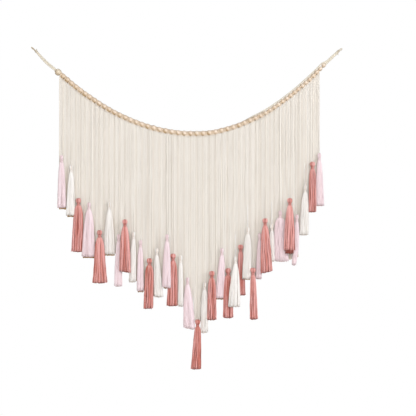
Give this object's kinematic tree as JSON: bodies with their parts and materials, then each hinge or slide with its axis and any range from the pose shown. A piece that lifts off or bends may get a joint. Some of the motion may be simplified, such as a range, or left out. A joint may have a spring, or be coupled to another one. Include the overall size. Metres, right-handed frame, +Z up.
{
  "type": "macrame wall hanging",
  "caption": "Wall hanging: a swag of wooden beads on a cord with nail loops, hung with a cream string curtain that ends in a deep V of rose, blush and white yarn tassels.",
  "frame": {"origin": "midway between the two nails that the end loops hang on, at the nails' height, in the plane of the strings", "axes": "+Z up, +Y towards the wall, +X to the right as seen from the front"},
  "size_m": [0.903, 0.0467, 0.9304],
  "materials": {
    "cream_string": "matte twisted cotton string, cream",
    "hanging_cord": "matte twisted cotton cord, off-white",
    "rose_yarn": "soft matte yarn, dusty rose",
    "blush_yarn": "soft matte yarn, pale blush pink",
    "white_yarn": "soft matte yarn, white",
    "bead_wood": "unvarnished turned wood, pale"
  },
  "bodies": {
    "root": {"bead_row": "bead_wood", "bead_cord": "hanging_cord", "tie_left": "hanging_cord", "tie_right": "hanging_cord", "string_curtain": "cream_string", "tassel_01": "blush_yarn", "tassel_02": "white_yarn", "tassel_03": "rose_yarn", "tassel_04": "blush_yarn", "tassel_05": "rose_yarn", "tassel_06": "white_yarn", "tassel_07": "blush_yarn", "tassel_08": "rose_yarn", "tassel_09": "white_yarn", "tassel_10": "blush_yarn", "tassel_11": "rose_yarn", "tassel_12": "white_yarn", "tassel_13": "blush_yarn", "tassel_14": "rose_yarn", "tassel_15": "white_yarn", "tassel_16": "blush_yarn", "tassel_17": "rose_yarn", "tassel_18": "white_yarn", "tassel_19": "rose_yarn", "tassel_20": "blush_yarn", "tassel_21": "rose_yarn", "tassel_22": "white_yarn", "tassel_23": "rose_yarn", "tassel_24": "white_yarn", "tassel_25": "rose_yarn", "tassel_26": "blush_yarn", "tassel_27": "rose_yarn", "tassel_28": "white_yarn", "tassel_29": "blush_yarn", "tassel_30": "rose_yarn", "tassel_31": "blush_yarn", "tassel_32": "white_yarn", "tassel_33": "rose_yarn", "tassel_34": "blush_yarn"}
  },
  "joints": []
}
